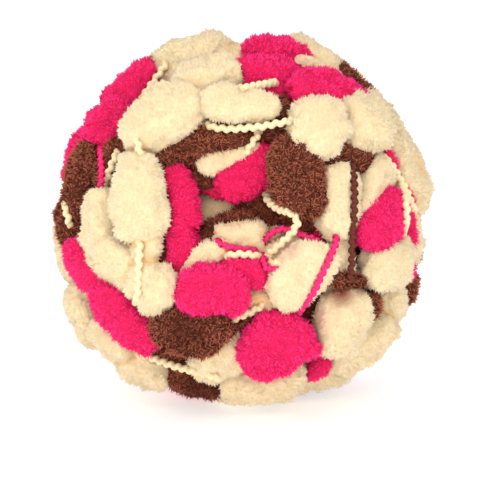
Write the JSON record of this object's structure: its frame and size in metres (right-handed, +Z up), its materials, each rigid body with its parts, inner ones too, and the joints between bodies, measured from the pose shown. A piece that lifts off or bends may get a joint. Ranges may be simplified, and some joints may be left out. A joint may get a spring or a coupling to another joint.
{
  "type": "pom pom yarn ball",
  "caption": "Soft ball wound from pom pom yarn: fluffy oval pompoms in cream, pink and brown on a thin cord, with a hollow in its face and a small flat spot to rest on.",
  "frame": {"origin": "middle of the flat spot that the ball rests on", "axes": "+Z up, -Y out of the face with the hollow, +X to the right of that face"},
  "size_m": [0.1444, 0.1436, 0.1411],
  "materials": {
    "cream_yarn": "fluffy matt pile, cream",
    "pink_yarn": "fluffy matt pile, hot pink",
    "brown_yarn": "fluffy matt pile, chocolate brown"
  },
  "bodies": {
    "root": {"yarn_ball": "cream_yarn"}
  },
  "joints": []
}
